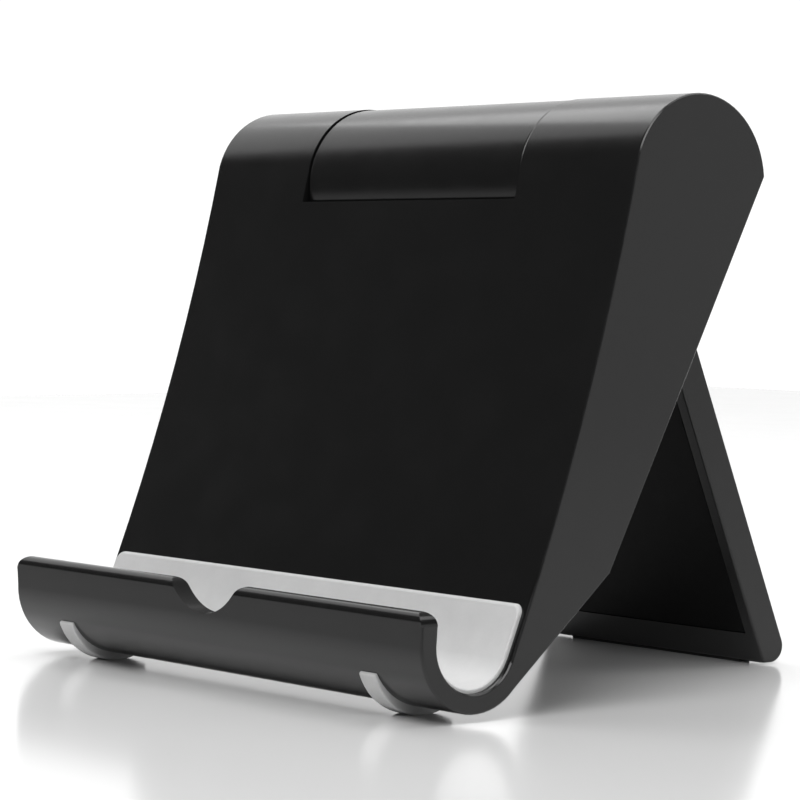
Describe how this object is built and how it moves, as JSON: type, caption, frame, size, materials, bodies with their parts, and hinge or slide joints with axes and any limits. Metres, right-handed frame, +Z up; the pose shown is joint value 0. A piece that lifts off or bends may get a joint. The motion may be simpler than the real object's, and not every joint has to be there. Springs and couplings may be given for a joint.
{
  "type": "phone stand",
  "caption": "Folding desk stand for a phone or small tablet: curved back with a lined trough and notched lip, propped by a leg on a friction hinge.",
  "frame": {"origin": "centre of the standing footprint's bounding rectangle, on the surface the stand rests on", "axes": "+Z up; -Y is the front, where the phone trough is; +X runs along the hinge axis and the trough"},
  "size_m": [0.097, 0.0902, 0.0832],
  "materials": {
    "shell_black": "satin gloss moulded black",
    "cover_black": "satin gloss moulded black",
    "leg_black": "satin gloss moulded black",
    "panel_black": "fine matt texture, black",
    "cap_black": "satin gloss moulded black",
    "screw_black": "blackened steel",
    "soft_grey": "smooth soft light grey elastomer",
    "foot_grey": "smooth soft light grey elastomer",
    "grip_rubber": "dark rubber",
    "bush_ivory": "natural acetal",
    "friction_brass": "lapped",
    "shaft_steel": "ground",
    "pin_steel": "ground",
    "washer_steel": "flat ground",
    "spring_steel": "hardened spring steel",
    "nut_steel": "zinc plated"
  },
  "bodies": {
    "stand_body": {"front_shell": "shell_black", "back_cover": "cover_black", "cover_screws": "screw_black", "trough_liner": "soft_grey", "left_foot_pad": "foot_grey", "right_foot_pad": "foot_grey", "left_bush": "bush_ivory", "right_bush": "bush_ivory", "left_friction_plate": "friction_brass", "right_friction_plate": "friction_brass"},
    "leg": {"leg_frame": "leg_black", "leg_panel": "panel_black", "leg_screws": "screw_black", "knuckle_cap": "cap_black", "leg_grip": "grip_rubber", "hinge_shaft": "shaft_steel", "shaft_pins": "pin_steel", "left_pressure_washer": "washer_steel", "right_pressure_washer": "washer_steel", "left_spring_washers": "spring_steel", "right_spring_washers": "spring_steel", "left_lock_nut": "nut_steel", "right_lock_nut": "nut_steel"}
  },
  "joints": [
    {"name": "leg_hinge", "type": "hinge", "parent": "stand_body", "child": "leg", "pos_m": [0, 0.00314, 0.071], "axis": [1, 0, 0], "range_deg": [-50, 175]}
  ]
}
